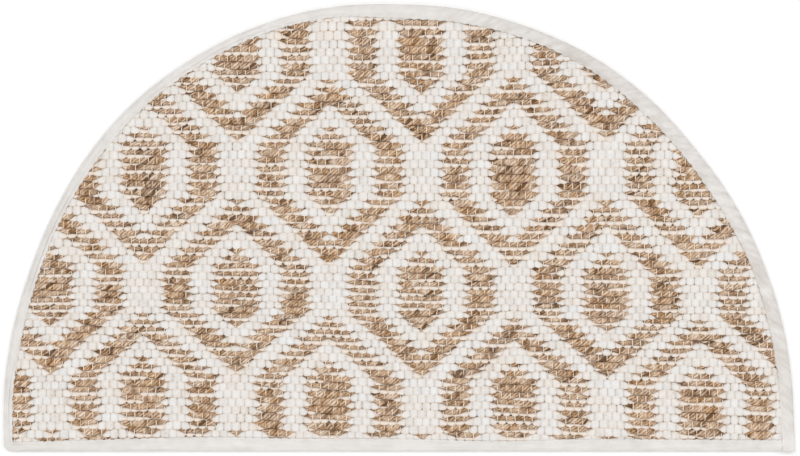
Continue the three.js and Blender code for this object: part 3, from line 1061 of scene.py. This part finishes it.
def flat_strip():
    """Each section point lies between fold and hem by its share of the width and an offset in
    millimetres. The hem is drawn into a shallow scallop by its stitches, and the top layer
    takes the puckers. Gives X, Y and Z, and how far across the tape each point is."""
    share, offset, height = np.array(TAPE_SECTION).T
    width, along = tape_width[:, None], tape_along[:, None]
    across = (share * width + offset) / width
    lift = np.where(height > TOP_ONLY, puckers(along, across, width), 0)
    scallop = SCALLOP_DEPTH * np.sin(2 * np.pi * along / SCALLOP_LENGTH + 1.2 * np.sin(along / 31))
    reach = across + np.clip((across - 0.8) / 0.2, 0, 1) * scallop / width
    x = fold_x[:, None] + reach * (hem_x - fold_x)[:, None]
    y = fold_y[:, None] + reach * (hem_y - fold_y)[:, None]
    return x, y, height + lift, across


fullest = np.argmax(pucker_strength(hem_x, hem_y))
print("the tape is fullest at X", round(hem_x[fullest]), "Y", round(hem_y[fullest]), "mm")

# %% The lap
UNDER_LAP, LAP_LENGTH, LAP_SLOPE = 40, 22, 12
LAP_MARGIN, LAP_FADE = 3, 4
LAP_SHIFT, LAP_LIFT = 1.4, 0.45
MIDDLE_OF_TAPE, PRESSED_LAYER = 3.5, 0.62


def folded_strip():
    """The strip with its lap. Its first few centimetres are pressed towards its own middle and
    moved in from the fold, and its end is lifted over them."""
    x, y, z, across = flat_strip()
    start = np.clip((x[:, :1] - (FIELD_RIGHT - LAP_MARGIN)) / LAP_FADE, 0, 1)
    start = start * ((fold_y < FRONT_Y + 1) & (tape_along < UNDER_LAP))[:, None]
    z = z + start * (PRESSED_LAYER - 1) * (z - MIDDLE_OF_TAPE)
    y = y + start * LAP_SHIFT * (1 - across)
    end = np.clip((tape_along - (tape_along[-1] - LAP_LENGTH)) / LAP_SLOPE, 0, 1)[:, None]
    top = np.array(TAPE_SECTION)[:, 2] > TOP_ONLY
    return np.stack([x, y, z + end * LAP_LIFT * top], axis=-1)


tape_rings = folded_strip()[None]
print("the section has", tape_rings.shape[2], "points, at", tape_rings.shape[1], "places")

# %% [markdown]
# ## The tape's cloth
#
# The tape has a fine plain weave, which is two crossed sines here. On the right-hand arc it is
# creased by short slanting folds and made a little darker, and elsewhere it only has long faint
# streaks, so one mask by place mixes two kinds of streak. They raise the surface, and they darken
# and lighten its colour as painted shade of the folds, more strongly on the right-hand arc.

# %% Tape material
tape_cloth, tree, shader = new_material("cotton_tape", 0.9, 0.25)
tape_map = put(tree, "ShaderNodeUVMap", uv_map="lay").outputs[0]
lay = put(tree, "ShaderNodeSeparateXYZ", {0: tape_map}).outputs
place = put(tree, "ShaderNodeTexCoord").outputs["Object"]
spot = put(tree, "ShaderNodeSeparateXYZ", {0: place}).outputs


def share_of(value, low, high):
    """0 up to low, 1 from high on, and straight in between."""
    return put(tree, "ShaderNodeMapRange", {
        "Value": value, "From Min": low, "From Max": high}).outputs[0]


def streaks(along, lean, across):
    """Noise drawn out into streaks that lean across the tape."""
    leaning = maths(tree, "MULTIPLY_ADD", lay["Y"], lean, lay["X"])
    drawn_out = put(tree, "ShaderNodeCombineXYZ", {
        "X": maths(tree, "MULTIPLY", leaning, along),
        "Y": maths(tree, "MULTIPLY", lay["Y"], across)}).outputs[0]
    return noise(tree, drawn_out, 1.0, 2.0)


warp_wave = maths(tree, "SINE", maths(tree, "MULTIPLY", lay["X"], 2 * math.pi / 0.0011))
weft_wave = maths(tree, "SINE", maths(tree, "MULTIPLY", lay["Y"], 2 * math.pi * 52))
threads = maths(tree, "MULTIPLY", maths(tree, "MULTIPLY", warp_wave, weft_wave), 0.5)
fine_weave = maths(tree, "ADD", threads, noise(tree, place, 900.0, 2.0))
on_right = maths(tree, "MULTIPLY", share_of(spot["X"], -0.1, 0.15),
                 share_of(spot["Y"], -0.215, -0.19))
crease = put(tree, "ShaderNodeMix", {0: on_right, 2: streaks(38.0, 0.02, 14.0),
                                     3: streaks(140.0, 0.05, 3.0)}).outputs[0]
weave_bump = put(tree, "ShaderNodeBump", {
    "Height": fine_weave, "Distance": 0.12 * MM, "Strength": 0.7}).outputs[0]
bump = put(tree, "ShaderNodeBump", {
    "Height": crease, "Distance": 1.8 * MM, "Strength": 0.8, "Normal": weave_bump}).outputs[0]
tree.links.new(bump, shader["Normal"])
# Painted shade of the folds: the streaks darken and lighten the colour, more on the right-hand arc,
# which is also made a little darker.
painted_fold_shade = swing(tree, crease, maths(tree, "MULTIPLY_ADD", on_right, 0.35, 0.15))
tone = maths(tree, "MULTIPLY_ADD", noise(tree, place, 70.0, 3.0), 0.3, 0.55)
tone = maths(tree, "MULTIPLY_ADD", on_right, -0.08, maths(tree, "ADD", tone, painted_fold_shade))
tree.links.new(ramp(tree, tone, (0.5, paint(205, 198, 192)), (0.85, paint(237, 235, 232))),
               shader["Base Color"])
tape = tube_piece("folded_tape", tape_rings, True, tape_along * MM, tape_cloth)
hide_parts("edge_tape")

# %% [markdown]
# ## Stitches
#
# A lockstitch runs in the channel, and shows as short dashes of thread on the top and the
# underside. Each dash is a thin closed tube whose ends dip into the cloth.

# %% Stitches
SEAM_INSET = 2.2
STITCH_STEP, STITCH_LENGTH, THREAD_RADIUS = 3.4, 2.7, 0.24


def stitch_rings(height, dip):
    """Three square rings for each stitch, at its start, middle and end, placed by reading the
    path's curves at the length along the seam. The ends dip by dip."""
    centre = np.arange(STITCH_STEP, tape_along[-1] - STITCH_STEP, STITCH_STEP)[:, None]
    at = centre + STITCH_LENGTH * np.array([-0.5, 0, 0.5])
    from_x, from_y, to_x, to_y, width = (
        np.interp(at, tape_along, part) for part in (fold_x, fold_y, hem_x, hem_y, tape_width))
    share = 1 - SEAM_INSET / width
    x, y = from_x + share * (to_x - from_x), from_y + share * (to_y - from_y)
    out_x, out_y = (to_x - from_x) / width, (to_y - from_y) / width
    z = height - dip * np.array([1, 0, 1])
    side = np.array([1, 0, -1, 0]) * THREAD_RADIUS
    rise = np.array([0, 1, 0, -1]) * THREAD_RADIUS
    ring_x = x[..., None] + side * out_x[..., None]
    ring_y = y[..., None] + side * out_y[..., None]
    ring_z = z[..., None] + np.broadcast_to(rise, ring_x.shape)
    return np.stack([ring_x, ring_y, ring_z], axis=-1), at * MM


def stitch_row(name, height, dip):
    """One seam's stitches as one piece."""
    rings, along = stitch_rings(height, dip)
    return tube_piece(name, rings, True, along, thread)


thread = yarn_material(
    "sewing_thread", [(0.0, paint(212, 208, 201)), (1.0, paint(228, 225, 220))],
    turn_length=0.0015, strands=1.0, lay_length=0.0015, fineness=1.0, drift_length=30.0, contrast=1.0,
    fibre_contrast=0.6, relief=0.1, groove=0.1)
seams = [stitch_row("seam_top", 6.32, 0.25), stitch_row("seam_underside", 0.28, -0.25)]

# %% [markdown]
# ## The floor
#
# A plain pale floor, larger than any view of the rug. It is stage and not part of the rug.

# %% Floor
FLOOR_REACH = 6
floor_corners = [(across * FLOOR_REACH, down * FLOOR_REACH, 0)
                 for across, down in ((-1, -1), (1, -1), (1, 1), (-1, 1))]
floor_mesh = bpy.data.meshes.new("floor")
floor_mesh.from_pydata(floor_corners, [], [(0, 1, 2, 3)])
floor_paint, tree, shader = new_material("floor_paint", 0.9)
shader["Base Color"].default_value = paint(252, 252, 252)
floor_mesh.materials.append(floor_paint)
floor = add_to_scene(bpy.data.objects.new("floor", floor_mesh))
print("the floor is", 2 * FLOOR_REACH, "m wide")
